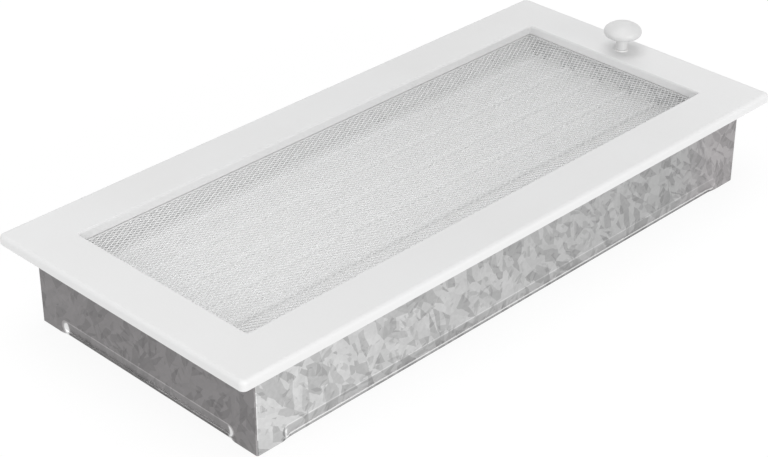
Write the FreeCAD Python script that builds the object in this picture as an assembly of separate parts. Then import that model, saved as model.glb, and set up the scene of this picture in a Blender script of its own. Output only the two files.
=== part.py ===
import FreeCAD, Part
import math
import os

from FreeCAD import Vector

# Fireplace vent grille: a sheet steel sleeve for the chimney breast, and a lift-out grille with a
# white pressed face, an expanded mesh and a louvre that a knob on the face turns.
# Millimetres. X runs along the long side, Y along the short side, +Z up out of the face.
# The origin is in the middle of the grille, at the bottom edge of the sleeve.

# Window in the face
WINDOW_LENGTH = 317.4
WINDOW_WIDTH = 116.9
WINDOW_CORNER = 1.0
WINDOW_LIP = 4.95
WINDOW_BEND = 0.9

# Face sheet
FACE_SHEET = 1.0
FACE_HEM = 5.0
FACE_BEND = 2.0
FACE_CORNER = 2.8
FACE_OVERLAP_X = 14.25
FACE_OVERLAP_Y = 9.1

# Sleeve
SLEEVE_HEIGHT = 43.4
SLEEVE_SHEET = 0.7
SLEEVE_BEND = 1.0
SLEEVE_ROOM_X = 1.75
SLEEVE_ROOM_Y = 13.0
SEAT_GAP = 0.2
SEAM_LAP = 15.0
SEAM_RIVET_RADIUS = 1.6
SEAM_RIVET_HEAD = 3.0
SEAM_RIVET_HEAD_HEIGHT = 0.9
SEAM_RIVET_PITCH = 22.0

# Bead rolled into the sleeve's walls near the bottom edge: a long slope, a short ledge under it,
# and a lip that stands back from the wall
BEAD_LEDGE = 1.25
BEAD_TOP = 8.0
BEAD_DEPTH = 1.6
BEAD_CREST_TOP = 1.6
BEAD_LIP_SET = 0.8
BEAD_LIP_TAPER = 5.0
BEAD_END_SIDES = 10
BEAD_END_MARGIN = 14.8
BEAD_GROWTH = 0.35

# Expanded mesh, drawn with wide meshes
MESH_SHEET = 0.95
MESH_EDGE = 2.0
MESH_COLUMNS = 9
MESH_ROWS = 6
MESH_STRAND = 4.0

# Louvre housing
HOUSING_SHEET = 0.7
FLANGE_SET_IN = 0.1
SLAT_COVER_X = 2.3
SLAT_COVER_Y = 2.15
HOUSING_SIDE_GAP = 0.9
HOUSING_SKIRT = 4.0
LINK_ROOM = 8.4
END_FLANGE_SET = 0.5

# Slats
SLAT_COUNT = 6
SLAT_SHEET = 0.6
SLAT_LAP = 1.0
SLAT_LAP_RISE = 0.45
SLAT_LAP_WIDTH = 2.0
SLAT_JOGGLE = 1.0
SLAT_SWEEP_GAP = 0.4
SLAT_END_GAP = 0.5
ROD_RADIUS = 1.5
ROD_RUNNING_GAP = 0.05
TROUGH_GAP = 0.05

# Cranks and link bar
CRANK_THROW = 7.0
CRANK_SHEET = 1.0
CRANK_HALF_WIDTH = 3.0
CRANK_TIP = 2.8
CRANK_GAP = 0.3
CRANK_PIN_RADIUS = 1.25
CRANK_PIN_HEAD = 1.9
CRANK_PIN_HEAD_HEIGHT = 0.5
PRESS_GAP = 0.02
BAR_SHEET = 1.0
BAR_HALF_HEIGHT = 3.0
BAR_END = 3.5
BAR_SWEEP_GAP = 0.35
FORK_HALF_WIDTH = 4.0
FORK_REACH = 6.5
FORK_SIDE_GAP = 0.15

# Knob and lever
KNOB_SET_BACK = 11.9
KNOB_Y = 3.0
KNOB_RADIUS = 10.3
KNOB_STEM = 3.15
KNOB_STEM_LENGTH = 8.5
KNOB_RIM = 2.4
KNOB_SHOULDER = 3.0
KNOB_CROWN = 5.4
SPINDLE_RADIUS = 2.0
SPINDLE_BITE = 1.0
SPINDLE_HEAD = 2.8
SPINDLE_HEAD_HEIGHT = 0.6
BUSH_RADIUS = 2.7
BUSH_FLANGE = 3.5
BUSH_FLANGE_HEIGHT = 0.7
BUSH_PROUD = 0.1
WASHER_RADIUS = 4.0
WASHER_SHEET = 0.5
LEVER_SHEET = 1.2
LEVER_BOSS = 3.5
LEVER_TIP = 2.8
LEVER_PIN_RADIUS = 1.5
LEVER_PIN_HEAD = 2.2
LEVER_PIN_HEAD_HEIGHT = 0.3
LEVER_PIN_REACH = 0.35
TURN_GAP = 0.1
SLOT_GAP = 0.3

# Studs that hold the housing to the face
STUD_RADIUS = 2.0
STUD_SPACING_X = 220.0
STUD_SET = 4.8
STUD_BASE = 2.9
STUD_BASE_HEIGHT = 0.6
STUD_PROUD = 1.0
STUD_HOLE_GAP = 0.25
NUT_FLATS = 7.0
NUT_HEIGHT = 3.2
NUT_WASHER_RADIUS = 4.5
NUT_WASHER_SHEET = 0.8

# Leaf springs that grip the sleeve
CLIP_SPACING_X = 160.0
CLIP_WIDTH = 12.0
CLIP_SHEET = 0.5
CLIP_PAD = 6.0
CLIP_FOOT = 0.5
CLIP_SLOPE_RISE = 10.0
CLIP_RETURN_RISE = 4.0
CLIP_RETURN_SET = 3.0
CLIP_WALL_GAP = 0.3
CLIP_BEND = 0.6
CLIP_RIVET_RADIUS = 1.5
CLIP_RIVET_HEAD = 2.6
CLIP_RIVET_HEAD_HEIGHT = 0.7
RIVET_SET = 1.25

# How far a cutter runs past what it cuts, and how far from a height an edge may lie to be at it
PAST = 1.0
LEVEL = 1e-4

# Heights that follow, from the sleeve's rim up
FLANGE_UNDER = SLEEVE_HEIGHT + SEAT_GAP
FLANGE_Z = FLANGE_UNDER + HOUSING_SHEET
LIP_Z = FLANGE_Z + MESH_SHEET
FACE_Z = LIP_Z + WINDOW_LIP
FACE_UNDER = FACE_Z - FACE_SHEET

# Housing, across
SLAT_PITCH = (WINDOW_WIDTH + 2 * SLAT_COVER_Y) / SLAT_COUNT
SLAT_HALF = (SLAT_PITCH + SLAT_LAP) / 2
HOUSING_HALF_INNER = WINDOW_WIDTH / 2 + SLAT_COVER_Y + HOUSING_SIDE_GAP
HOUSING_HALF_OUTER = HOUSING_HALF_INNER + HOUSING_SHEET
SLAT_Z = FLANGE_UNDER - SLAT_SWEEP_GAP - SLAT_HALF
HOUSING_BOTTOM = SLAT_Z - SLAT_HALF - HOUSING_SKIRT

# Housing, along
HOUSING_LEFT_INNER = -WINDOW_LENGTH / 2 - SLAT_COVER_X
HOUSING_LEFT_OUTER = HOUSING_LEFT_INNER - HOUSING_SHEET
SLAT_LEFT = HOUSING_LEFT_INNER + SLAT_END_GAP
SLAT_RIGHT = WINDOW_LENGTH / 2 + SLAT_END_GAP
CRANK_X = SLAT_RIGHT + CRANK_GAP
BAR_X = CRANK_X + CRANK_SHEET + CRANK_GAP
HOUSING_RIGHT_INNER = SLAT_RIGHT + LINK_ROOM
HOUSING_RIGHT_OUTER = HOUSING_RIGHT_INNER + HOUSING_SHEET

# Sleeve and face
SLEEVE_HALF_X = HOUSING_RIGHT_OUTER + SLEEVE_ROOM_X + SLEEVE_SHEET
SLEEVE_HALF_Y = HOUSING_HALF_OUTER + SLEEVE_ROOM_Y + SLEEVE_SHEET
HOUSING_EDGE_X = SLEEVE_HALF_X - FLANGE_SET_IN
HOUSING_EDGE_Y = SLEEVE_HALF_Y - FLANGE_SET_IN
FACE_HALF_X = SLEEVE_HALF_X + FACE_OVERLAP_X
FACE_HALF_Y = SLEEVE_HALF_Y + FACE_OVERLAP_Y

# Linkage at rest, with the louvre shut
CRANK_REST = CRANK_THROW * math.sqrt(0.5)
BAR_RISE = CRANK_THROW - CRANK_REST
BAR_Z = SLAT_Z + CRANK_REST
FORK_TOP = FLANGE_UNDER - BAR_SWEEP_GAP - BAR_RISE
KNOB_X = WINDOW_LENGTH / 2 + KNOB_SET_BACK
LEVER_PIN_X = KNOB_X - CRANK_REST
LEVER_PIN_Y = KNOB_Y + CRANK_REST
LEVER_TOP = FACE_UNDER - BUSH_PROUD - TURN_GAP - WASHER_SHEET
LEVER_BOTTOM = LEVER_TOP - LEVER_SHEET
SPINDLE_END = LEVER_BOTTOM - SPINDLE_HEAD_HEIGHT
SPINDLE_TOP = FACE_Z + KNOB_STEM_LENGTH + SPINDLE_BITE
LEVER_PIN_BOTTOM = FORK_TOP - BAR_SHEET - LEVER_PIN_REACH


def box(x0, x1, y0, y1, z0, z1):
    return Part.makeBox(x1 - x0, y1 - y0, z1 - z0, Vector(x0, y0, z0))


def centred_box(half_x, half_y, z0, z1):
    return box(-half_x, half_x, -half_y, half_y, z0, z1)


def upright(radius, z0, z1, x, y):
    return Part.makeCylinder(radius, z1 - z0, Vector(x, y, z0), Vector(0, 0, 1))


def along_x(radius, x0, x1, y, z):
    return Part.makeCylinder(radius, x1 - x0, Vector(x0, y, z), Vector(1, 0, 0))


def along_y(radius, y0, y1, x, z):
    direction = Vector(0, math.copysign(1, y1 - y0), 0)
    return Part.makeCylinder(radius, abs(y1 - y0), Vector(x, y0, z), direction)


def climbs(edge):
    """True for an edge that runs up and down rather than along."""
    heading = edge.tangentAt(edge.FirstParameter)
    return abs(heading.z) > abs(heading.x) + abs(heading.y)


def edges_at(shape, z, half_x, half_y):
    """Edges at height z that lie inside the given half sizes."""
    found = []
    for edge in shape.Edges:
        b = edge.BoundBox
        flat = abs(b.ZMin - z) < LEVEL and abs(b.ZMax - z) < LEVEL
        inside = max(abs(b.XMin), abs(b.XMax)) < half_x and max(abs(b.YMin), abs(b.YMax)) < half_y
        if flat and inside:
            found.append(edge)
    return found


def rounded_box(half_x, half_y, z0, z1, corner):
    block = centred_box(half_x, half_y, z0, z1)
    return block.makeFillet(corner, [edge for edge in block.Edges if climbs(edge)])


def extruded(outline, direction):
    return Part.Face(outline).extrude(direction)


def slot_plate(a, b, radius_a, radius_b, z0, z1):
    """Upright plate around two circles, with straight flanks between them."""
    hull = tapered_outline(a, b, radius_a, radius_b)
    plate = extruded(hull, Vector(0, 0, z1 - z0))
    plate.translate(Vector(0, 0, z0))
    return plate


def tapered_outline(a, b, radius_a, radius_b):
    """Closed outline around two circles in the plane z = 0: two tangents and two arcs."""
    along = Vector(b[0] - a[0], b[1] - a[1], 0)
    heading = math.atan2(along.y, along.x)
    lean = math.acos((radius_a - radius_b) / along.Length)
    centre_a = Vector(a[0], a[1], 0)
    centre_b = Vector(b[0], b[1], 0)

    def rim(centre, radius, angle):
        return centre + Vector(radius * math.cos(angle), radius * math.sin(angle), 0)

    left_a = rim(centre_a, radius_a, heading + lean)
    right_a = rim(centre_a, radius_a, heading - lean)
    left_b = rim(centre_b, radius_b, heading + lean)
    right_b = rim(centre_b, radius_b, heading - lean)
    back = rim(centre_a, radius_a, heading + math.pi)
    front = rim(centre_b, radius_b, heading)
    return Part.Wire([
        Part.Arc(left_a, back, right_a).toShape(),
        Part.LineSegment(right_a, right_b).toShape(),
        Part.Arc(right_b, front, left_b).toShape(),
        Part.LineSegment(left_b, left_a).toShape(),
    ])


def bead_outline(half_length, z0, z1, y):
    """Closed outline standing in the plane at y, its ends rounded by short straight sides."""
    radius = (z1 - z0) / 2
    corners = []
    for i in range(BEAD_END_SIDES + 1):
        angle = math.pi * i / BEAD_END_SIDES
        reach = half_length - radius + radius * math.sin(angle)
        corners.append(Vector(reach, y, z0 + radius - radius * math.cos(angle)))
    mirrored = [Vector(-corner.x, y, corner.z) for corner in reversed(corners)]
    return Part.makePolygon(corners + mirrored + corners[:1])


def bead_form(half_length, growth, sheet):
    """Tapered bead over a flat ledge: its mouth as deep as the sheet, its crest a bead's depth further in."""
    ledge = BEAD_LEDGE - sheet
    mouth = bead_outline(half_length + growth, ledge, BEAD_TOP + growth, -sheet)
    taper = BEAD_TOP - BEAD_CREST_TOP
    crest = bead_outline(half_length + growth - taper, ledge, BEAD_CREST_TOP + growth, -sheet - BEAD_DEPTH)
    return Part.makeLoft([mouth, crest], True, True)


def bead_lip_form(half_length, growth, sheet, z0):
    """Strip from z0 up to the ledge, tapered at both ends, from as deep as the sheet to the set-back lip."""
    reach = half_length + growth
    back = reach - BEAD_LIP_TAPER
    depth = sheet + BEAD_LIP_SET
    corners = [Vector(-reach, -sheet, z0), Vector(reach, -sheet, z0), Vector(back, -depth, z0),
               Vector(-back, -depth, z0)]
    outline = Part.makePolygon(corners + corners[:1])
    return extruded(outline, Vector(0, 0, BEAD_LEDGE - sheet - z0))


def on_each_wall(form_for):
    """Four copies of a form made for a wall that faces +Y, one on each side of the sleeve."""
    placed = []
    for turn in range(4):
        long_wall = turn % 2 == 0
        half_length = SLEEVE_HALF_X if long_wall else SLEEVE_HALF_Y
        form = form_for(half_length - BEAD_END_MARGIN)
        form.translate(Vector(0, SLEEVE_HALF_Y if long_wall else SLEEVE_HALF_X, 0))
        form.rotate(Vector(0, 0, 0), Vector(0, 0, 1), 90 * turn)
        placed.append(form)
    return placed


def seam_rivet_heights():
    middle = (BEAD_TOP + SLEEVE_HEIGHT) / 2
    return [middle - SEAM_RIVET_PITCH / 2, middle + SEAM_RIVET_PITCH / 2]


def seam_rivet_x():
    return SLEEVE_HALF_X - SLEEVE_SHEET - SEAM_LAP / 2


def sleeve_frame():
    """Strip folded round four corners, lapped inside its far corner and beaded near the bottom."""
    outer = rounded_box(SLEEVE_HALF_X, SLEEVE_HALF_Y, 0, SLEEVE_HEIGHT, SLEEVE_BEND)
    inner_x = SLEEVE_HALF_X - SLEEVE_SHEET
    inner_y = SLEEVE_HALF_Y - SLEEVE_SHEET
    inner = rounded_box(inner_x, inner_y, -PAST, SLEEVE_HEIGHT + PAST, SLEEVE_BEND - SLEEVE_SHEET)
    frame = outer.cut(inner)
    lap = box(inner_x - SEAM_LAP, inner_x - SLEEVE_BEND, inner_y - SLEEVE_SHEET, inner_y,
              BEAD_TOP + SLEEVE_BEND, SLEEVE_HEIGHT)
    frame = frame.fuse(lap)
    frame = frame.fuse(on_each_wall(lambda half: bead_form(half, BEAD_GROWTH, SLEEVE_SHEET)))
    frame = frame.fuse(on_each_wall(lambda half: bead_lip_form(half, BEAD_GROWTH, SLEEVE_SHEET, 0)))
    frame = frame.cut(on_each_wall(lambda half: bead_form(half, 0, 0)))
    frame = frame.cut(on_each_wall(lambda half: bead_lip_form(half, 0, 0, -PAST)))
    holes = []
    for z in seam_rivet_heights():
        holes.append(along_y(SEAM_RIVET_RADIUS, inner_y - SLEEVE_SHEET - PAST, SLEEVE_HALF_Y + PAST,
                             seam_rivet_x(), z))
    return frame.cut(holes).removeSplitter()


def domed_rivet(radius, head_radius, head_height, grip):
    """Rivet along +Z: domed head above z = 0, shank down through the grip, set end below."""
    set_radius = radius * RIVET_SET
    end = -grip - head_height
    ball = (head_radius ** 2 + head_height ** 2) / (2 * head_height)
    half_turn = math.asin(head_radius / ball) / 2
    crown = Vector(0, 0, head_height)
    shoulder = crown + Vector(ball * math.sin(half_turn), 0, ball * math.cos(half_turn) - ball)
    shank = Part.makePolygon([Vector(0, 0, end), Vector(set_radius, 0, end), Vector(set_radius, 0, -grip),
                              Vector(radius, 0, -grip), Vector(radius, 0, 0), Vector(head_radius, 0, 0)])
    head = Part.Arc(Vector(head_radius, 0, 0), shoulder, crown).toShape()
    axis = Part.LineSegment(crown, Vector(0, 0, end)).toShape()
    outline = Part.Wire(shank.Edges + [head, axis])
    return Part.Face(outline).revolve(Vector(0, 0, 0), Vector(0, 0, 1), 360)


def seam_rivets():
    rivets = []
    for z in seam_rivet_heights():
        rivet = domed_rivet(SEAM_RIVET_RADIUS, SEAM_RIVET_HEAD, SEAM_RIVET_HEAD_HEIGHT, 2 * SLEEVE_SHEET)
        rivet.rotate(Vector(0, 0, 0), Vector(1, 0, 0), -90)
        rivet.translate(Vector(seam_rivet_x(), SLEEVE_HALF_Y, z))
        rivets.append(rivet)
    return Part.makeCompound(rivets)


def front_panel():
    """Pressed face: outer edge turned down, window with its edge turned down as a lip."""
    outer = rounded_box(FACE_HALF_X, FACE_HALF_Y, FACE_Z - FACE_HEM, FACE_Z, FACE_CORNER)
    outer = outer.makeFillet(FACE_BEND, edges_at(outer, FACE_Z, FACE_HALF_X + PAST, FACE_HALF_Y + PAST))
    hollow = rounded_box(FACE_HALF_X - FACE_SHEET, FACE_HALF_Y - FACE_SHEET, FACE_Z - FACE_HEM - PAST,
                         FACE_UNDER, FACE_CORNER - FACE_SHEET)
    inner_bend = edges_at(hollow, FACE_UNDER, FACE_HALF_X, FACE_HALF_Y)
    hollow = hollow.makeFillet(FACE_BEND - FACE_SHEET, inner_bend)
    half_x = WINDOW_LENGTH / 2
    half_y = WINDOW_WIDTH / 2
    lip = rounded_box(half_x + FACE_SHEET, half_y + FACE_SHEET, LIP_Z, FACE_Z - FACE_SHEET / 2,
                      WINDOW_CORNER + FACE_SHEET)
    window = rounded_box(half_x, half_y, LIP_Z - PAST, FACE_Z + PAST, WINDOW_CORNER)
    panel = outer.cut(hollow).fuse(lip).cut(window).removeSplitter()
    panel = panel.makeFillet(WINDOW_BEND, edges_at(panel, FACE_Z, half_x + PAST, half_y + PAST))
    return panel.cut(upright(BUSH_RADIUS, FACE_UNDER - PAST, FACE_Z + PAST, KNOB_X, KNOB_Y))


def stud_places():
    y = HOUSING_HALF_OUTER + STUD_SET
    return [(sx * STUD_SPACING_X / 2, sy * y) for sx in (-1, 1) for sy in (-1, 1)]


def nut_top():
    return FLANGE_UNDER - NUT_WASHER_SHEET


def panel_studs():
    studs = []
    for x, y in stud_places():
        base = upright(STUD_BASE, FACE_UNDER - STUD_BASE_HEIGHT, FACE_UNDER, x, y)
        shank = upright(STUD_RADIUS, nut_top() - NUT_HEIGHT - STUD_PROUD, FACE_UNDER, x, y)
        studs.append(base.fuse(shank).removeSplitter())
    return Part.makeCompound(studs)


def hexagon(flats, z0, z1, x, y):
    reach = flats / math.sqrt(3)
    turns = [math.radians(60 * i) for i in range(7)]
    points = [Vector(x + reach * math.cos(a), y + reach * math.sin(a), z0) for a in turns]
    return extruded(Part.makePolygon(points), Vector(0, 0, z1 - z0))


def stud_nuts():
    nuts = []
    low = nut_top() - NUT_HEIGHT
    for x, y in stud_places():
        nut = hexagon(NUT_FLATS, low, nut_top(), x, y)
        nuts.append(nut.cut(upright(STUD_RADIUS + PRESS_GAP, low - PAST, nut_top() + PAST, x, y)))
    return Part.makeCompound(nuts)


def stud_washers():
    washers = []
    for x, y in stud_places():
        disc = upright(NUT_WASHER_RADIUS, nut_top(), FLANGE_UNDER, x, y)
        bore = upright(STUD_RADIUS + STUD_HOLE_GAP, nut_top() - PAST, FLANGE_UNDER + PAST, x, y)
        washers.append(disc.cut(bore))
    return Part.makeCompound(washers)


def diamond(x, y, half_x, half_y, z0, z1):
    corners = [(x - half_x, y), (x, y - half_y), (x + half_x, y), (x, y + half_y), (x - half_x, y)]
    outline = Part.makePolygon([Vector(px, py, z0) for px, py in corners])
    return extruded(outline, Vector(0, 0, z1 - z0))


def mesh_screen():
    """Expanded sheet with staggered diamond meshes, clamped between the face's lip and the housing."""
    left = HOUSING_LEFT_OUTER - MESH_EDGE
    right = KNOB_X - CRANK_THROW - LEVER_PIN_RADIUS - 2 * SLOT_GAP
    half_y = HOUSING_HALF_OUTER + MESH_EDGE
    sheet = box(left, right, -half_y, half_y, FLANGE_Z, LIP_Z)
    long_way = WINDOW_LENGTH / MESH_COLUMNS
    short_way = WINDOW_WIDTH / MESH_ROWS
    half_long = long_way / 2 - MESH_STRAND
    half_short = short_way / 2 * half_long / (long_way / 2)
    gaps = []
    for row in range(2 * MESH_ROWS - 1):
        columns = MESH_COLUMNS if row % 2 == 0 else MESH_COLUMNS - 1
        y = -WINDOW_WIDTH / 2 + (row + 1) * short_way / 2
        for column in range(columns):
            x = (column - (columns - 1) / 2) * long_way
            gaps.append(diamond(x, y, half_long, half_short, FLANGE_Z - PAST, LIP_Z + PAST))
    return sheet.cut(gaps)


def housing():
    """Folded frame round the slats, flanged over the sleeve's rim and inwards over the linkage."""
    z0 = HOUSING_BOTTOM
    left = HOUSING_LEFT_OUTER
    right = HOUSING_RIGHT_OUTER
    y = HOUSING_HALF_OUTER
    frame = box(left, right, -y, y, z0, FLANGE_Z)
    long_flanges = box(left, right, -HOUSING_EDGE_Y, HOUSING_EDGE_Y, FLANGE_UNDER, FLANGE_Z)
    end_flange = box(-HOUSING_EDGE_X, left, -y, y, FLANGE_UNDER, FLANGE_Z)
    frame = frame.fuse([long_flanges, end_flange])
    inner_y = HOUSING_HALF_INNER
    hollow = box(HOUSING_LEFT_INNER, HOUSING_RIGHT_INNER, -inner_y, inner_y, z0 - PAST, FLANGE_UNDER)
    under = FLANGE_UNDER - PAST
    over = FLANGE_Z + PAST
    window = box(HOUSING_LEFT_INNER, WINDOW_LENGTH / 2 + END_FLANGE_SET, -inner_y, inner_y, under, over)
    frame = frame.cut([hollow, window]).removeSplitter()
    holes = []
    for index in range(SLAT_COUNT):
        rod_y = slat_y(index)
        holes.append(along_x(ROD_RADIUS + ROD_RUNNING_GAP, left - PAST, right + PAST, rod_y, SLAT_Z))
    for stud_x, stud_y in stud_places():
        holes.append(upright(STUD_RADIUS + STUD_HOLE_GAP, under, over, stud_x, stud_y))
    for clip_x, side in clip_places():
        wall_in = side * (inner_y - PAST)
        wall_out = side * (y + PAST)
        holes.append(along_y(CLIP_RIVET_RADIUS, wall_in, wall_out, clip_x, clip_rivet_z()))
    reach = LEVER_PIN_RADIUS + SLOT_GAP
    sweep = CRANK_REST + reach
    lever_slot = box(KNOB_X - CRANK_THROW - reach, LEVER_PIN_X + reach,
                     KNOB_Y - sweep, KNOB_Y + sweep, under, over)
    return frame.cut(holes + [lever_slot])


def clip_places():
    return [(sx * CLIP_SPACING_X / 2, sy) for sx in (-1, 1) for sy in (-1, 1)]


def clip_rivet_z():
    return HOUSING_BOTTOM + CLIP_FOOT + CLIP_PAD / 2


def rounded_path(points, radius):
    """Wire through points in the YZ plane, with a tangent arc at each inner corner."""
    edges = []
    start = points[0]
    for before, corner, after in zip(points, points[1:], points[2:]):
        back = (before - corner).normalize()
        ahead = (after - corner).normalize()
        half = back.getAngle(ahead) / 2
        setback = radius / math.tan(half)
        first = corner + back * setback
        last = corner + ahead * setback
        centre = corner + (back + ahead).normalize() * (radius / math.sin(half))
        middle = centre + (corner - centre).normalize() * radius
        edges.append(Part.LineSegment(start, first).toShape())
        edges.append(Part.Arc(first, middle, last).toShape())
        start = last
    edges.append(Part.LineSegment(start, points[-1]).toShape())
    return Part.Wire(edges)


def spring_clip(x, side):
    """Leaf spring: flat pad low on the housing, slope out to the sleeve, and a tip turned back in."""
    pad_y = HOUSING_HALF_OUTER
    crest_y = SLEEVE_HALF_Y - SLEEVE_SHEET - CLIP_WALL_GAP - CLIP_SHEET
    foot = HOUSING_BOTTOM + CLIP_FOOT
    bend = foot + CLIP_PAD
    crest = bend + CLIP_SLOPE_RISE
    points = [Vector(0, pad_y, foot), Vector(0, pad_y, bend), Vector(0, crest_y, crest),
              Vector(0, crest_y - CLIP_RETURN_SET, crest + CLIP_RETURN_RISE)]
    section = rounded_path(points, CLIP_BEND).makeOffset2D(CLIP_SHEET, 2, True, True)
    leaf = section.extrude(Vector(CLIP_WIDTH, 0, 0))
    leaf.translate(Vector(-CLIP_WIDTH / 2, 0, 0))
    leaf = leaf.cut(along_y(CLIP_RIVET_RADIUS, pad_y - PAST, pad_y + PAST, 0, clip_rivet_z()))
    if side < 0:
        leaf.rotate(Vector(0, 0, 0), Vector(0, 0, 1), 180)
    leaf.translate(Vector(x, 0, 0))
    return leaf


def clip_rivets():
    rivets = []
    grip = CLIP_SHEET + HOUSING_SHEET
    for x, side in clip_places():
        rivet = domed_rivet(CLIP_RIVET_RADIUS, CLIP_RIVET_HEAD, CLIP_RIVET_HEAD_HEIGHT, grip)
        rivet.rotate(Vector(0, 0, 0), Vector(1, 0, 0), -90 * side)
        rivet.translate(Vector(x, side * (HOUSING_HALF_OUTER + CLIP_SHEET), clip_rivet_z()))
        rivets.append(rivet)
    return Part.makeCompound(rivets)


def slat_y(index):
    return (index - (SLAT_COUNT - 1) / 2) * SLAT_PITCH


def slat_blank():
    """Slat at the origin: flat strip with a trough for its rod and a joggled edge on each side."""
    half = SLAT_SHEET / 2
    inner = ROD_RADIUS + TROUGH_GAP
    outer = inner + SLAT_SHEET
    joggle = SLAT_HALF - SLAT_LAP_WIDTH
    length = Vector(SLAT_RIGHT - SLAT_LEFT, 0, 0)

    def strip(points):
        path = [Vector(SLAT_LEFT, y, z) for y, z in points]
        return extruded(Part.makePolygon(path + path[:1]), length)

    wings = []
    for side in (-1, 1):
        low = side * SLAT_LAP_RISE - half
        high = side * SLAT_LAP_RISE + half
        flat_end = side * (joggle - SLAT_JOGGLE)
        wings.append(strip([
            (side * inner, -half), (flat_end, -half), (side * joggle, low), (side * SLAT_HALF, low),
            (side * SLAT_HALF, high), (side * joggle, high), (flat_end, half), (side * inner, half)]))
    tube = along_x(outer, SLAT_LEFT, SLAT_RIGHT, 0, 0)
    side_reach = outer + PAST
    below = box(SLAT_LEFT - PAST, SLAT_RIGHT + PAST, -side_reach, side_reach, -side_reach, -half)
    bore = along_x(inner, SLAT_LEFT - PAST, SLAT_RIGHT + PAST, 0, 0)
    return tube.cut(below).fuse(wings).cut(bore).removeSplitter()


def crank_blank():
    """Crank at the origin: plate on the rod, and a riveted pin for the link bar."""
    plate = slot_plate((0, 0), (CRANK_REST, CRANK_REST), CRANK_HALF_WIDTH, CRANK_TIP, 0, CRANK_SHEET)
    plate = plate.cut(upright(ROD_RADIUS + PRESS_GAP, -PAST, CRANK_SHEET + PAST, 0, 0))
    head_start = CRANK_SHEET + CRANK_GAP + BAR_SHEET + CRANK_GAP
    pin = upright(CRANK_PIN_RADIUS, 0, head_start, CRANK_REST, CRANK_REST)
    head = upright(CRANK_PIN_HEAD, head_start, head_start + CRANK_PIN_HEAD_HEIGHT, CRANK_REST, CRANK_REST)
    crank = plate.fuse([pin, head]).removeSplitter()
    crank.rotate(Vector(0, 0, 0), Vector(1, 1, 1), 120)
    crank.translate(Vector(CRANK_X, 0, 0))
    return crank


def link_bar():
    """Flat bar with a hole for each crank pin, and a fork on top for the lever's pin."""
    pins = [slat_y(i) + CRANK_REST for i in range(SLAT_COUNT)]
    end = BAR_END - BAR_HALF_HEIGHT
    half = BAR_HALF_HEIGHT
    x0 = BAR_X
    x1 = BAR_X + BAR_SHEET
    first = pins[0] - end
    last = pins[-1] + end
    bar = box(x0, x1, first, last, BAR_Z - half, BAR_Z + half)
    bar = bar.fuse([along_x(half, x0, x1, first, BAR_Z), along_x(half, x0, x1, last, BAR_Z)])
    left = LEVER_PIN_Y - FORK_HALF_WIDTH
    right = LEVER_PIN_Y + FORK_HALF_WIDTH
    riser = box(x0, x1, left, right, BAR_Z, FORK_TOP)
    fork = box(x0, x0 + FORK_REACH, left, right, FORK_TOP - BAR_SHEET, FORK_TOP)
    mouth = LEVER_PIN_RADIUS + FORK_SIDE_GAP
    slot = box(x1 + SLOT_GAP / 2, x0 + FORK_REACH + PAST, LEVER_PIN_Y - mouth, LEVER_PIN_Y + mouth,
               FORK_TOP - BAR_SHEET - PAST, FORK_TOP + PAST)
    holes = [along_x(CRANK_PIN_RADIUS + ROD_RUNNING_GAP, x0 - PAST, x1 + PAST, y, BAR_Z) for y in pins]
    return bar.fuse([riser, fork]).removeSplitter().cut(holes + [slot])


def knob():
    """Mushroom knob: round stem, and a cap with a rounded rim and a domed crown."""
    base = FACE_Z + BUSH_FLANGE_HEIGHT + TURN_GAP
    under = FACE_Z + KNOB_STEM_LENGTH
    widest = under + KNOB_RIM
    top = widest + KNOB_CROWN
    rim_in = KNOB_RADIUS - KNOB_RIM
    apex = Vector(0, 0, top)
    rim_point = Vector(KNOB_RADIUS, 0, widest)
    shoulder_in = KNOB_RADIUS - KNOB_SHOULDER
    ball = (shoulder_in ** 2 + KNOB_CROWN ** 2 - KNOB_SHOULDER ** 2) / (2 * (KNOB_CROWN - KNOB_SHOULDER))
    centre = Vector(0, 0, top - ball)
    slope = math.atan2(shoulder_in, widest - centre.z)
    meet = centre + Vector(ball * math.sin(slope), 0, ball * math.cos(slope))
    dome_mid = centre + Vector(ball * math.sin(slope / 2), 0, ball * math.cos(slope / 2))
    dome = Part.Arc(meet, dome_mid, apex)
    lean = (math.pi / 2 + slope) / 2
    shoulder_mid = Vector(KNOB_SHOULDER * math.sin(lean), 0, KNOB_SHOULDER * math.cos(lean))
    shoulder = Part.Arc(rim_point, Vector(shoulder_in, 0, widest) + shoulder_mid, meet)
    diagonal = KNOB_RIM * math.sqrt(0.5)
    rim_low = Vector(rim_in, 0, under)
    rim = Part.Arc(rim_low, Vector(rim_in + diagonal, 0, widest - diagonal), rim_point)
    stem = Part.makePolygon([apex, Vector(0, 0, base), Vector(KNOB_STEM, 0, base),
                             Vector(KNOB_STEM, 0, under), rim_low])
    outline = Part.Wire(stem.Edges + [rim.toShape(), shoulder.toShape(), dome.toShape()])
    body = Part.Face(outline).revolve(Vector(0, 0, 0), Vector(0, 0, 1), 360)
    body = body.cut(upright(SPINDLE_RADIUS + PRESS_GAP, base - PAST, SPINDLE_TOP + PRESS_GAP, 0, 0))
    body.translate(Vector(KNOB_X, KNOB_Y, 0))
    return body


def knob_spindle():
    shaft = upright(SPINDLE_RADIUS, LEVER_BOTTOM, SPINDLE_TOP, KNOB_X, KNOB_Y)
    head = upright(SPINDLE_HEAD, SPINDLE_END, LEVER_BOTTOM, KNOB_X, KNOB_Y)
    return shaft.fuse(head).removeSplitter()


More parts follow.
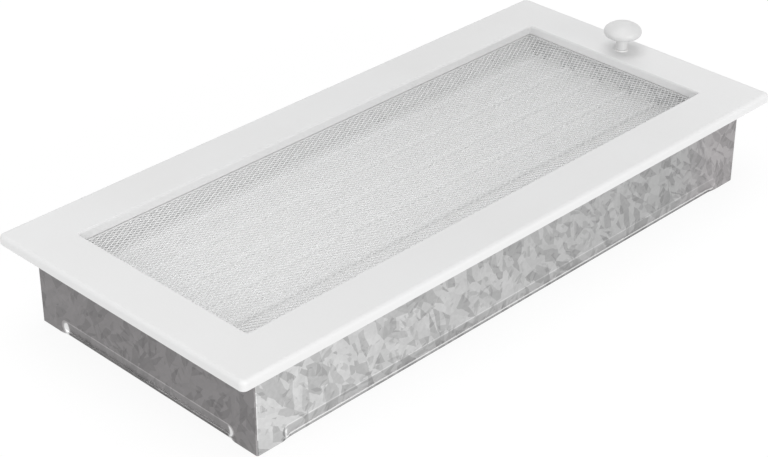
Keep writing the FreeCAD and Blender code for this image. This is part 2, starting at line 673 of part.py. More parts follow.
def spindle_bush():
    top = FACE_Z + BUSH_FLANGE_HEIGHT
    collar = upright(BUSH_FLANGE, FACE_Z, top, KNOB_X, KNOB_Y)
    body = upright(BUSH_RADIUS, FACE_UNDER - BUSH_PROUD, FACE_Z, KNOB_X, KNOB_Y)
    bore = upright(SPINDLE_RADIUS + ROD_RUNNING_GAP, FACE_UNDER - PAST, top + PAST, KNOB_X, KNOB_Y)
    return collar.fuse(body).removeSplitter().cut(bore)


def spindle_washer():
    disc = upright(WASHER_RADIUS, LEVER_TOP, LEVER_TOP + WASHER_SHEET, KNOB_X, KNOB_Y)
    return disc.cut(upright(SPINDLE_RADIUS + PRESS_GAP, LEVER_TOP - PAST, LEVER_TOP + PAST, KNOB_X, KNOB_Y))


def lever_arm():
    boss = (KNOB_X, KNOB_Y)
    tip = (LEVER_PIN_X, LEVER_PIN_Y)
    arm = slot_plate(boss, tip, LEVER_BOSS, LEVER_TIP, LEVER_BOTTOM, LEVER_TOP)
    low = LEVER_BOTTOM - PAST
    high = LEVER_TOP + PAST
    spindle_hole = upright(SPINDLE_RADIUS + PRESS_GAP, low, high, *boss)
    pin_hole = upright(LEVER_PIN_RADIUS + PRESS_GAP, low, high, *tip)
    return arm.cut([spindle_hole, pin_hole])


def lever_pin():
    shank = upright(LEVER_PIN_RADIUS, LEVER_PIN_BOTTOM, LEVER_TOP, LEVER_PIN_X, LEVER_PIN_Y)
    head = upright(LEVER_PIN_HEAD, LEVER_TOP, LEVER_TOP + LEVER_PIN_HEAD_HEIGHT, LEVER_PIN_X, LEVER_PIN_Y)
    return shank.fuse(head).removeSplitter()


def moved(shape, y, z):
    copy = shape.copy()
    copy.translate(Vector(0, y, z))
    return copy


def all_pieces():
    pieces = {
        "sleeve_frame": sleeve_frame(),
        "seam_rivets": seam_rivets(),
        "front_panel": front_panel(),
        "panel_studs": panel_studs(),
        "stud_washers": stud_washers(),
        "stud_nuts": stud_nuts(),
        "mesh_screen": mesh_screen(),
        "louvre_housing": housing(),
        "clip_rivets": clip_rivets(),
        "spindle_bush": spindle_bush(),
        "knob": knob(),
        "knob_spindle": knob_spindle(),
        "spindle_washer": spindle_washer(),
        "lever_arm": lever_arm(),
        "lever_pin": lever_pin(),
        "link_bar": link_bar(),
    }
    for number, (x, side) in enumerate(clip_places(), 1):
        pieces[f"spring_clip_{number}"] = spring_clip(x, side)
    slat = slat_blank()
    rod = along_x(ROD_RADIUS, HOUSING_LEFT_OUTER, HOUSING_RIGHT_OUTER, 0, 0)
    crank = crank_blank()
    for index in range(SLAT_COUNT):
        y = slat_y(index)
        pieces[f"slat_{index + 1}"] = moved(slat, y, SLAT_Z)
        pieces[f"slat_rod_{index + 1}"] = moved(rod, y, SLAT_Z)
        pieces[f"crank_{index + 1}"] = moved(crank, y, SLAT_Z)
    return pieces


os.makedirs("parts", exist_ok=True)
for name, shape in all_pieces().items():
    shape.exportStep(f"parts/{name}.step")
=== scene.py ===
"""Fireplace vent grille: finishes, expanded mesh, floor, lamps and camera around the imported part.

Lengths are in metres. The grille lies in its wall sleeve on the floor at z = 0, long side along X.
Levels of colour run from 0, black, to 1, white. Unless a comment says otherwise, a pair of values holds the
two ends of a gradual change: of a place or direction, or of what it is given there.
"""

import bmesh
import bpy
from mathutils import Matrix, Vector


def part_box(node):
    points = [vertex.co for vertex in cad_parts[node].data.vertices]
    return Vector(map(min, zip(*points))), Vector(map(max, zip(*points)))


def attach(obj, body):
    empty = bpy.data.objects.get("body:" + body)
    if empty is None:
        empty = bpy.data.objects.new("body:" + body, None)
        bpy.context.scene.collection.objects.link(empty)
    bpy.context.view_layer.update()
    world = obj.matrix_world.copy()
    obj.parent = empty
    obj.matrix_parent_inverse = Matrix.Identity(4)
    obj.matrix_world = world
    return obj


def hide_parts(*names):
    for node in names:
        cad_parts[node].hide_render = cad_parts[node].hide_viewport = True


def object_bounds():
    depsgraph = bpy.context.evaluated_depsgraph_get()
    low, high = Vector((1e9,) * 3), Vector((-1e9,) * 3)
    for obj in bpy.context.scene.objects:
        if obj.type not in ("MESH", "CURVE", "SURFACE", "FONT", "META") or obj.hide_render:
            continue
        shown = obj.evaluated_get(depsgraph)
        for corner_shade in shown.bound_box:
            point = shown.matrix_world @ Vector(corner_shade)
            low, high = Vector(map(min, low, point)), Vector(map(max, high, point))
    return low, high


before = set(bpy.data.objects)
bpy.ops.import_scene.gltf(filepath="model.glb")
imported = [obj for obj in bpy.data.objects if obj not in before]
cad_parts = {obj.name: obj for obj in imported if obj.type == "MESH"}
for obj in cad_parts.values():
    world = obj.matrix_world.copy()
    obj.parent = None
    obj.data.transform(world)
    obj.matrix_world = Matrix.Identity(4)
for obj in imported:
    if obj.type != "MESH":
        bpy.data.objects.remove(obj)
cad_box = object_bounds()

MM = 0.001

# Expanded mesh: one diamond's long and short way, its strands and its flat edge
DIAMOND_LONG = 4.37 * MM
DIAMOND_SHORT = 2.30 * MM
STRAND_WIDTH = 0.27 * MM
STRAND_DEPTH = 0.36 * MM
STRAND_TILT = 0.05 * MM
MESH_COLUMNS = 73
MESH_ROWS = 51
EDGE_STRIP_DEPTH = 0.3 * MM
MERGE_DISTANCE = 0.01 * MM
TOLERANCE = 0.1 * MM

# Camera of the photograph: where it stands, what it looks at and its lens on a 36 mm wide sensor
CAMERA_PLACE = (-0.6232, -0.6007, 0.5279)
CAMERA_AIM = (-0.0208, -0.0041, 0.0207)
CAMERA_LENS = 93.95
CAMERA_SENSOR = 36.0

# Room and floor: the light they give to the object, and how bright the camera sees the floor
ROOM_LEVEL = 0.48
FLOOR_SIZE = 6.0
FLOOR_ALBEDO = 0.14
FLOOR_GLOW = 0.88
FLOOR_BOUNCE = 0.59

# Lamps: what they face, and each one's place, width, depth and power in watts
OBJECT_MIDDLE = (0.0, 0.0, 0.03)
LAMPS = {
    "front_lamp": ((-0.30, -2.12, 0.52), 1.8, 0.8, 25.0),
    "left_lamp": ((-2.12, 0.25, 0.52), 1.6, 0.8, 12.6),
    "overhead_lamp": ((0.0, 0.15, 2.20), 2.0, 1.6, 16.4),
    "back_lamp": ((1.32, 1.36, 1.10), 1.8, 1.2, 4.8),
}

# Coordinates on folded sheet: how squarely an end wall faces X, the share of the way across that is added to
# the height, and how far the end walls' pattern lies from the side walls'
END_WALL_FACING = 0.6
BEND_SHARE = 0.9
END_WALL_SHIFT = 0.7

# Zinc crystals: how drawn out they are, how far each large one's shards lie from the next one's in the
# pattern, their sway, their tones, and the small ones' dark share as a part of the large ones'
SHARD_STRETCH = (0.30, 1.0, 1.0)
SEED_SPREAD = 20.0
SWAY_SCALE = 1.7
SWAY = 0.16
LARGE_PALE = (0.62, 0.86)
LARGE_DARK = (0.16, 0.46)
SMALL_PALE = (-0.04, 0.14)
SMALL_DARK = (-0.40, -0.20)
SMALL_DARK_SHARE = 0.6
SMALL_PLACE = (7.3, 4.1, 0.0)
SCATTER_SCALE = 0.8
SCATTER = (0.44, 0.50)
CLOUD_SCALE = 4.0
CLOUDING = 0.36

# Scale of the wide mottling and tone beside the fine waviness and grain, and the noise's useful range
MOTTLE_SCALE = 0.03
GRAIN_TONE_SCALE = 0.12
NOISE_RANGE = (0.3, 0.7)

# White powder coat: its palest level, its two tints as level and warmth, and how far its roughness swings
PALEST_COAT = 0.98
COAT_DULL = (0.985, 0.001)
COAT_PALE = (1.0, -0.002)
COAT_SWING = (0.04, -0.03)

# Face: top, and painted shade in the middle of its length, toward its far corner and on its end hems
FACE_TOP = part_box("front_panel")[1].z
FACE_MIDDLE_SHADE = 0.08
FACE_CORNER_SHADE = 0.055
HEM_END_SHADE = 0.03
FACE_UPWARD = (0.3, 0.8)
HEM_ENDWAYS = (0.4, 0.8)

# Window lip: half its length and width, its zones by depth below the face's top, and its painted shade
LIP_REACH_X = 160 * MM
LIP_REACH_Y = 60 * MM
LIP_START = (0.5 * MM, 1.0 * MM)
CREST_START = (0.02 * MM, 0.15 * MM)
CREST_END = (0.55 * MM, 0.75 * MM)
LIP_SHADE = (0.05, 0.18)
LIP_END_SHARE = 0.20
LIP_CREST_SHADE = 0.08

# Slats: the step from rod to rod, the troughs over the rods and the zones by the window's long edges, which
# get painted light against their shade, and the level elsewhere
ROD_STEP = 20.2 * MM
TROUGH_SHIFT = 1.5 * MM
TROUGH_HALF_WIDTH = (0.9 * MM, 2.1 * MM)
NEAR_SLAT_EDGE = (-34 * MM, -26 * MM)
FAR_SLAT_EDGE = (44 * MM, 52 * MM)
SLAT_LEVEL_BESIDE_PAINTED_LIGHT = 0.90

# Mesh: painted light on the zone at the window's -Y edge, which the lip shades, and on the strands' shaded
# sides
MESH_EDGE = (-54 * MM, -15 * MM)
MESH_EDGE_PAINTED_LIGHT = 1.06
STRAND_UPRIGHT = (0.3, 0.9)
STRAND_SIDE_PAINTED_LIGHT = 1.14

# Galvanised sheet: share of dark crystals from -X to +X, rising toward +X as painted shade, and grain,
# roughness and relief of the crystals
DARK_SHARE = (0.32, 0.52)
SHEET_GRAIN = 0.5 * MM
SHEET_GRAIN_SHARE = 0.10
SHEET_ROUGHNESS = (0.34, 0.5)
SPANGLE_RELIEF = 0.02 * MM

# Sleeve: its painted shade from -X to +X and on the end walls, its metallic share, the warm end's start and
# tint, and the level of its painted highlights
SLEEVE_PAINTED_SHADE_LEVEL = (1.02, 0.54)
END_WALL_PAINTED_SHADE_LEVEL = 0.32
SLEEVE_METALLIC = 0.2
WARM_START = (120 * MM, 150 * MM)
WARM_TINT = (1.045, 1.0, 1.012, 1.0)
PAINTED_HIGHLIGHT_LEVEL = 0.9

# Housing: its level from -X to +X, how far out its outer faces lie, and how much duller they are
HOUSING_LEVEL = (1.0, 0.98)
OUTER_REACH = 50 * MM
OUTER_DULLING = 0.55

# Sleeve's bead: its height, its distance from the corners, the height of its ledge, and its zones by depth in
# from the wall, by distance past the bead's end and by height above the bottom edge
BEAD_HEIGHT = 8.3 * MM
BEAD_MARGIN = 14.8 * MM
LEDGE_HEIGHT = 1.2 * MM
SUNK_DEPTH = (0.2 * MM, 0.4 * MM)
CRESCENT_DEPTH = (0.02 * MM, 0.05 * MM)
RIM_START = (0.01 * MM, 0.04 * MM)
RIM_END = (0.20 * MM, 0.28 * MM)
CRESCENT_END = (1.6 * MM, 2.1 * MM)
GLINT_START = (1.8 * MM, 2.3 * MM)
GLINT_END = (3.0 * MM, 3.8 * MM)
GLINT_TOP = (4.6 * MM, 6.0 * MM)
FACET_END = (3.8 * MM, 4.8 * MM)
LEDGE_UPWARD = (0.5, 0.7)

# Sleeve's bead: the strength of its painted shade and painted highlights, on the side walls and, where named
# so, on the end walls
GROOVE_PAINTED_SHADE = 0.23
END_GROOVE_PAINTED_SHADE = 0.03
BOTTOM_LIP_PAINTED_SHADE = 0.38
LEDGE_LEAN = 1.2
RIM_PAINTED_HIGHLIGHT = 0.24
END_RIM_PAINTED_HIGHLIGHT = 0.7
LEDGE_PAINTED_HIGHLIGHT = 0.72
END_LEDGE_PAINTED_HIGHLIGHT = 0.5
BEAD_END_PAINTED_SHADE = 0.5
BEAD_END_PAINTED_GLINT = 0.7
BEAD_END_PAINTED_HIGHLIGHT = 0.8

# Plain metal and plastic: darkest share of their level, swing of their roughness and depth of their grain
METAL_DARKEST = 0.86
METAL_SWING = (0.08, -0.05)
METAL_RELIEF = 0.01 * MM
PLASTIC_DARKEST = 0.985
PLASTIC_SWING = (0.04, -0.03)
PLASTIC_RELIEF = 0.006 * MM
PLASTIC_GRAIN = 0.35 * MM


class Nodes:
    """Adds the nodes of one material, group or world, and joins them."""

    def __init__(self, tree):
        self.tree = tree

    def feed(self, socket, value):
        """Joins an output to the socket, or sets the socket's own value."""
        if isinstance(value, bpy.types.NodeSocket):
            self.tree.links.new(value, socket)
        else:
            socket.default_value = value

    def add(self, kind, settings=None, **inputs):
        """One node: its settings, and its inputs by name, with _ for a space."""
        node = self.tree.nodes.new("ShaderNode" + kind)
        for name, value in (settings or {}).items():
            setattr(node, name, value)
        for name, value in inputs.items():
            self.feed(node.inputs[name.replace("_", " ")], value)
        return node

    def math(self, operation, *values):
        """One operation on numbers."""
        node = self.add("Math", {"operation": operation})
        for socket, value in zip(node.inputs, values):
            self.feed(socket, value)
        return node.outputs[0]

    def product(self, first, *others):
        """The product of two or more numbers."""
        for other in others:
            first = self.math("MULTIPLY", first, other)
        return first

    def one_less(self, value):
        """1 less the number."""
        return self.math("SUBTRACT", 1.0, value)

    def vector(self, operation, *values):
        """One operation on vectors that gives a vector."""
        node = self.add("VectorMath", {"operation": operation})
        for socket, value in zip(node.inputs, values):
            self.feed(socket, value)
        return node.outputs["Vector"]

    def scaled(self, vector, factor):
        """A vector or colour times a number."""
        node = self.add("VectorMath", {"operation": "SCALE"}, Scale=factor)
        self.feed(node.inputs[0], vector)
        return node.outputs["Vector"]

    def split(self, vector):
        """The vector's X, Y and Z."""
        return self.add("SeparateXYZ", Vector=vector).outputs

    def joined(self, x, y, z=0.0):
        """A vector from its X, Y and Z."""
        return self.add("CombineXYZ", X=x, Y=y, Z=z).outputs["Vector"]

    def spread(self, value, low, high, to_low=0.0, to_high=1.0):
        """Carries low..high to to_low..to_high, held at both ends."""
        node = self.add("MapRange", Value=value, From_Min=low, From_Max=high)
        self.feed(node.inputs["To Min"], to_low)
        self.feed(node.inputs["To Max"], to_high)
        return node.outputs["Result"]

    def along_x(self, x, near, far):
        """A number that goes from near at the grille's -X end to far at its +X end."""
        return self.spread(x, cad_box[0].x, cad_box[1].x, near, far)

    def mix(self, kind, sockets, values):
        """One Mix node of that kind, with its factor and two values on those sockets."""
        node = self.add("Mix", {"data_type": kind})
        for index, value in zip(sockets, values):
            self.feed(node.inputs[index], value)
        return node

    def blend(self, factor, low, high):
        """Mixes two numbers."""
        return self.mix("FLOAT", (0, 2, 3), (factor, low, high)).outputs[0]

    def blend_vectors(self, factor, low, high):
        """Mixes two vectors."""
        return self.mix("VECTOR", (0, 4, 5), (factor, low, high)).outputs[1]

    def blend_colours(self, factor, low, high):
        """Mixes two colours."""
        return self.mix("RGBA", (0, 6, 7), (factor, low, high)).outputs[2]

    def noise(self, vector, scale, detail=2.0, roughness=0.5, output="Fac"):
        """Soft noise, as a number or as a colour."""
        inputs = {"Vector": vector, "Scale": scale, "Detail": detail, "Roughness": roughness}
        return self.add("TexNoise", **inputs).outputs[output]

    def cells(self, vector, scale):
        """Flat Voronoi cells: the node's outputs."""
        return self.add("TexVoronoi", {"voronoi_dimensions": "2D"}, Vector=vector, Scale=scale).outputs


def grey(level, warmth=0.0):
    """A near-neutral colour; warmth above 0 leans to yellow, below 0 to blue."""
    return (level * (1 + warmth), level, level * (1 - warmth), 1.0)


def new_group(name, inputs, outputs):
    """A node group with named inputs (kind and start value) and outputs (kind)."""
    group = bpy.data.node_groups.new(name, "ShaderNodeTree")
    for title, kind, start in inputs:
        socket = group.interface.new_socket(title, in_out="INPUT", socket_type="NodeSocket" + kind)
        if start is not None:
            socket.default_value = start
    for title, kind in outputs:
        group.interface.new_socket(title, in_out="OUTPUT", socket_type="NodeSocket" + kind)
    nodes = Nodes(group)
    given = group.nodes.new("NodeGroupInput").outputs
    result = group.nodes.new("NodeGroupOutput").inputs
    return group, nodes, given, result


def make_sheet_plane():
    """Flat coordinates along folded sheet: X or Y runs along the wall, and the other way goes over bends."""
    group, nodes, given, result = new_group("sheet_plane", [], [("Vector", "Vector"), ("End wall", "Float")])
    place = nodes.add("TexCoord").outputs
    x, y, z = nodes.split(place["Object"])
    facing = nodes.math("ABSOLUTE", nodes.split(place["Normal"])[0])
    end_wall = nodes.math("GREATER_THAN", facing, END_WALL_FACING)
    side_plane = nodes.joined(x, nodes.math("MULTIPLY_ADD", y, BEND_SHARE, z))
    shifted = nodes.math("ADD", y, END_WALL_SHIFT)
    end_plane = nodes.joined(shifted, nodes.math("MULTIPLY_ADD", x, BEND_SHARE, z))
    nodes.feed(result["Vector"], nodes.blend_vectors(end_wall, side_plane, end_plane))
    nodes.feed(result["End wall"], end_wall)
    return group


def pointed_shards(nodes, flat, crystal_scale, shard_scale, lean, sweep):
    """Long straight-edged shards that lie one way within each large crystal: the shards' random colours."""
    crystal = nodes.cells(flat, crystal_scale)
    turn = nodes.spread(nodes.split(crystal["Color"])[0], 0.0, 1.0, lean - sweep, lean + sweep)
    from_seed = nodes.vector("SUBTRACT", flat, crystal["Position"])
    turned = nodes.add("VectorRotate", {"rotation_type": "Z_AXIS"}, Vector=from_seed, Angle=turn)
    own_seed = nodes.scaled(crystal["Color"], SEED_SPREAD)
    drawn_out = nodes.vector("MULTIPLY_ADD", turned.outputs["Vector"], SHARD_STRETCH, own_seed)
    return nodes.split(nodes.cells(drawn_out, shard_scale)["Color"])


def make_spangle():
    """Zinc spangle: straight pointed crystals, some of them dark, as a tone from 0, dark, to 1, pale."""
    group, nodes, given, result = new_group(
        "zinc_spangle",
        [("Vector", "Vector", None), ("Size", "Float", 0.014), ("Dark share", "Float", 0.3)],
        [("Tone", "Float")],
    )
    flat = nodes.vector("DIVIDE", given["Vector"], nodes.joined(given["Size"], given["Size"], 1.0))
    sway = nodes.noise(flat, SWAY_SCALE, output="Color")
    flat = nodes.vector("ADD", flat, nodes.scaled(nodes.vector("SUBTRACT", sway, (0.5, 0.5, 0.5)), SWAY))

    # Large shards, pale or dark, then smaller ones across them
    large = pointed_shards(nodes, flat, crystal_scale=0.55, shard_scale=2.2, lean=0.9, sweep=0.5)
    large_tone = nodes.blend(nodes.math("LESS_THAN", large[0], given["Dark share"]),
                             nodes.spread(large[1], 0.0, 1.0, *LARGE_PALE),
                             nodes.spread(large[1], 0.0, 1.0, *LARGE_DARK))
    elsewhere = nodes.vector("ADD", flat, SMALL_PLACE)
    small = pointed_shards(nodes, elsewhere, crystal_scale=1.1, shard_scale=4.4, lean=0.2, sweep=1.5)
    small_share = nodes.product(given["Dark share"], SMALL_DARK_SHARE)
    small_tone = nodes.blend(nodes.math("LESS_THAN", small[0], small_share),
                             nodes.spread(small[1], 0.0, 1.0, *SMALL_PALE),
                             nodes.spread(small[1], 0.0, 1.0, *SMALL_DARK))
    scattered = nodes.spread(nodes.noise(flat, SCATTER_SCALE, detail=1.0), *SCATTER)
    tone = nodes.math("MULTIPLY_ADD", small_tone, scattered, large_tone)

    # Soft clouding within the shards
    cloud = nodes.noise(flat, CLOUD_SCALE, detail=3.0)
    clouding = nodes.math("MULTIPLY_ADD", cloud, CLOUDING, -CLOUDING / 2)
    nodes.feed(result["Tone"], nodes.math("ADD", tone, clouding))
    return group


def make_orange_peel():
    """The faint waviness of powder coat, and a light mottling of its colour."""
    group, nodes, given, result = new_group(
        "orange_peel",
        [("Size", "Float", 0.0016)],
        [("Height", "Float"), ("Mottle", "Float")],
    )
    place = nodes.add("TexCoord").outputs["Object"]
    per_metre = nodes.math("DIVIDE", 1.0, given["Size"])
    nodes.feed(result["Height"], nodes.noise(place, per_metre))
    nodes.feed(result["Mottle"], nodes.noise(place, nodes.product(per_metre, MOTTLE_SCALE), detail=3.0))
    return group


def make_metal_grain():
    """Fine uneven grain of plated or rolled metal, as a height and a tone."""
    group, nodes, given, result = new_group(
        "metal_grain",
        [("Size", "Float", 0.0008), ("Stretch", "Float", 1.0)],
        [("Height", "Float"), ("Tone", "Float")],
    )
    place = nodes.add("TexCoord").outputs["Object"]
    drawn = nodes.vector("MULTIPLY", place, nodes.joined(given["Stretch"], 1.0, 1.0))
    per_metre = nodes.math("DIVIDE", 1.0, given["Size"])
    tone_scale = nodes.product(per_metre, GRAIN_TONE_SCALE)
    nodes.feed(result["Height"], nodes.noise(drawn, per_metre, detail=3.0, roughness=0.6))
    nodes.feed(result["Tone"], nodes.noise(drawn, tone_scale, detail=4.0, roughness=0.6))
    return group


SHEET_PLANE = make_sheet_plane()
SPANGLE = make_spangle()
ORANGE_PEEL = make_orange_peel()
METAL_GRAIN = make_metal_grain()


def new_material(name):
    """A material with one Principled shader, and the maker of its nodes."""
    material = bpy.data.materials.new(name)
    material.use_nodes = True
    nodes = Nodes(material.node_tree)
    return material, nodes, material.node_tree.nodes["Principled BSDF"]


def placed_group(nodes, group, **inputs):
    """A node group in a material, with its inputs by name, with _ for a space."""
    return nodes.add("Group", {"node_tree": group}, **inputs).outputs


def bump(nodes, shader, height, depth):
    """Feeds a height of that depth to the shader's normal."""
    node = nodes.add("Bump", Height=height, Distance=depth, Strength=1.0)
    nodes.feed(shader.inputs["Normal"], node.outputs["Normal"])
    return node


def swung(nodes, value, middle, swing):
    """A roughness that goes by the noise from the middle and the first swing to the middle and the second."""
    return nodes.spread(value, *NOISE_RANGE, middle + swing[0], middle + swing[1])


def lip_level(nodes, place):
    """The window lip's level of tone: painted shade, most of all on the long sides toward +X, and a band of
    painted shade along its rounded top edge.
    """
    x, y, z = nodes.split(place["Object"])
    inside = nodes.product(nodes.math("LESS_THAN", nodes.math("ABSOLUTE", x), LIP_REACH_X),
                           nodes.math("LESS_THAN", nodes.math("ABSOLUTE", y), LIP_REACH_Y))
    depth = nodes.math("SUBTRACT", FACE_TOP, z)
    sideways = nodes.math("ABSOLUTE", nodes.split(place["Normal"])[1])
    # Painted shade down the lip, and along its rounded top edge, where it takes down the highlight
    lip_shade = nodes.product(nodes.spread(depth, *LIP_START),
                            nodes.spread(sideways, 0.0, 1.0, LIP_END_SHARE, 1.0),
                            nodes.along_x(x, *LIP_SHADE))
    crest_shade = nodes.product(nodes.spread(depth, *CREST_END, 1.0, 0.0),
                          nodes.spread(depth, *CREST_START, 0.0, LIP_CREST_SHADE))
    return nodes.one_less(nodes.product(inside, nodes.math("ADD", lip_shade, crest_shade)))


def slat_level(nodes, place):
    """The slats' level of tone: painted light in the rods' shaded troughs and near the window's long edges,
    which the face shades.
    """
    y = nodes.split(place["Object"])[1]
    from_first_trough = nodes.math("SUBTRACT", y, ROD_STEP / 2 - TROUGH_SHIFT)
    from_trough = nodes.math("PINGPONG", from_first_trough, ROD_STEP / 2)
    # Painted light in the shaded troughs and by the window's long edges lifts the level to 1
    in_trough = nodes.spread(from_trough, *TROUGH_HALF_WIDTH, 1.0, 0.0)
    by_edge = nodes.math("MAXIMUM", nodes.spread(y, *NEAR_SLAT_EDGE, 1.0, 0.0),
                         nodes.spread(y, *FAR_SLAT_EDGE))
    return nodes.spread(nodes.math("MAXIMUM", in_trough, by_edge), 0.0, 1.0, SLAT_LEVEL_BESIDE_PAINTED_LIGHT, 1.0)


def face_level(nodes, place):
    """The face's level of tone: painted shade in its middle, toward its far corner, on its end hems and on
    the window's lip.
    """
    x, y, z = nodes.split(place["Object"])
    facing = nodes.split(place["Normal"])
    upward = nodes.spread(facing[2], *FACE_UPWARD)
    endways = nodes.spread(nodes.math("ABSOLUTE", facing[0]), *HEM_ENDWAYS)
    far_out = nodes.math("POWER", nodes.math("DIVIDE", x, cad_box[1].x), 2.0)
    # Painted shade on the upward faces, deepest in the middle of the length and toward the far corner, and on
    # the end hems
    middle_shade = nodes.product(upward, nodes.spread(far_out, 0.0, 1.0, FACE_MIDDLE_SHADE, 0.0))
    corner_shade = nodes.product(nodes.spread(x, 0.0, cad_box[1].x),
                           nodes.spread(y, cad_box[0].y, cad_box[1].y), upward)
    face_shade = nodes.math("MULTIPLY_ADD", endways, HEM_END_SHADE, middle_shade)
    face_shade = nodes.math("MULTIPLY_ADD", corner_shade, FACE_CORNER_SHADE, face_shade)
    return nodes.product(nodes.one_less(face_shade), lip_level(nodes, place))


def mesh_level(nodes, place):
    """The mesh's level of tone: painted light on the strands' shaded sides and toward the window's -Y edge,
    where the lip shades the mesh.
    """
    # Painted light toward the -Y edge and on the strands' shaded sides
    edge = nodes.spread(nodes.split(place["Object"])[1], *MESH_EDGE, MESH_EDGE_PAINTED_LIGHT, 1.0)
    upright = nodes.math("ABSOLUTE", nodes.split(place["Normal"])[2])
    return nodes.product(edge, nodes.spread(upright, *STRAND_UPRIGHT, STRAND_SIDE_PAINTED_LIGHT, 1.0))


def powder_coat(name, near_level, far_level, peel_size, peel_depth, gloss, shade):
    """White powder coat: satin and faintly wavy, with painted shade that darkens it toward +X and the piece's
    own painted shade or light.
    """
    material, nodes, shader = new_material(name)
    peel = placed_group(nodes, ORANGE_PEEL, Size=peel_size)
    place = nodes.add("TexCoord").outputs
    # The level falls from -X to +X as painted shade, and the shade function adds the piece's own painted
    # shade or light
    level = nodes.along_x(nodes.split(place["Object"])[0], near_level, far_level)
    level = nodes.math("MINIMUM", nodes.product(level, shade(nodes, place)), PALEST_COAT)
    mottle = nodes.spread(peel["Mottle"], *NOISE_RANGE)
    colour = nodes.blend_colours(mottle, grey(*COAT_DULL), grey(*COAT_PALE))
    nodes.feed(shader.inputs["Base Color"], nodes.scaled(colour, level))
    nodes.feed(shader.inputs["Roughness"], swung(nodes, peel["Mottle"], gloss, COAT_SWING))
    bump(nodes, shader, peel["Height"], peel_depth)
    return material


def bead_painted_light(nodes, place, end_wall):
    """Painted shade and painted highlights round the sleeve's bead: its level of tone, its highlight, and the
    normal of its rounded ledge.
    """
    low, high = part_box("sleeve_frame")
    x, y, z = nodes.split(place["Object"])
    from_side = nodes.math("SUBTRACT", high.y, nodes.math("ABSOLUTE", y))
    from_end = nodes.math("SUBTRACT", high.x, nodes.math("ABSOLUTE", x))
    depth = nodes.math("MINIMUM", from_side, from_end)
    past_corner = nodes.math("SUBTRACT", nodes.math("MAXIMUM", from_side, from_end), BEAD_MARGIN)
    height = nodes.math("SUBTRACT", z, low.z)
    side_wall = nodes.one_less(end_wall)
    below_rim = nodes.math("LESS_THAN", height, BEAD_HEIGHT)
    sunk = nodes.product(below_rim, nodes.spread(depth, *SUNK_DEPTH))

    # Painted shade in the groove, less so toward +X, and darker painted shade on the lip under the ledge
    side_groove_shade = nodes.spread(x, low.x / 3, high.x * 2 / 3, GROOVE_PAINTED_SHADE, 0.0)
    groove_painted_shade = nodes.blend(end_wall, side_groove_shade, END_GROOVE_PAINTED_SHADE)
    under_ledge = nodes.math("LESS_THAN", height, LEDGE_HEIGHT)
    groove_shade = nodes.product(sunk, nodes.blend(under_ledge, groove_painted_shade, BOTTOM_LIP_PAINTED_SHADE))

    # Painted shade as a dark crescent at the bead's pressed end on the -X half of the side walls, and a
    # painted glint past it
    pressed_end = nodes.product(side_wall, nodes.math("LESS_THAN", x, 0.0))
    at_end = nodes.product(pressed_end, nodes.spread(past_corner, *CRESCENT_END, 1.0, 0.0))
    just_in = nodes.product(below_rim, nodes.spread(depth, *CRESCENT_DEPTH))
    crescent_shade = nodes.product(at_end, just_in, BEAD_END_PAINTED_SHADE)
    painted_glint = nodes.product(nodes.spread(past_corner, *GLINT_START),
                          nodes.spread(past_corner, *GLINT_END, 1.0, 0.0),
                          nodes.spread(height, *GLINT_TOP, 1.0, 0.0), pressed_end, BEAD_END_PAINTED_GLINT)

    # Painted highlight along the rim, apart from the crescent
    rim_highlight_strength = nodes.product(nodes.blend(end_wall, RIM_PAINTED_HIGHLIGHT, END_RIM_PAINTED_HIGHLIGHT),
                              nodes.one_less(nodes.product(at_end, below_rim)))
    rim_highlight = nodes.product(nodes.spread(depth, *RIM_START), nodes.spread(depth, *RIM_END, rim_highlight_strength, 0.0))
    level = nodes.math("SUBTRACT", nodes.math("ADD", rim_highlight, nodes.math("ADD", painted_glint, 1.0)),
                       nodes.math("MAXIMUM", groove_shade, crescent_shade))

    # Painted highlights on the ledge and on the end walls' bead ends
    ledge = nodes.product(below_rim, nodes.spread(nodes.split(place["Normal"])[2], *LEDGE_UPWARD))
    ledge_highlight = nodes.product(ledge, nodes.blend(end_wall, LEDGE_PAINTED_HIGHLIGHT, END_LEDGE_PAINTED_HIGHLIGHT))
    facet_highlight = nodes.product(sunk, end_wall, nodes.spread(past_corner, *FACET_END, BEAD_END_PAINTED_HIGHLIGHT, 0.0))
    painted_highlight = nodes.math("MAXIMUM", ledge_highlight, facet_highlight)

    # The ledge's normal leans outward
    outward = nodes.joined(nodes.product(nodes.math("SIGN", x), end_wall),
                           nodes.product(nodes.math("SIGN", y), side_wall))
    lean = nodes.scaled(outward, nodes.product(ledge, LEDGE_LEAN))
    return level, painted_highlight, nodes.vector("NORMALIZE", nodes.vector("ADD", place["Normal"], lean))


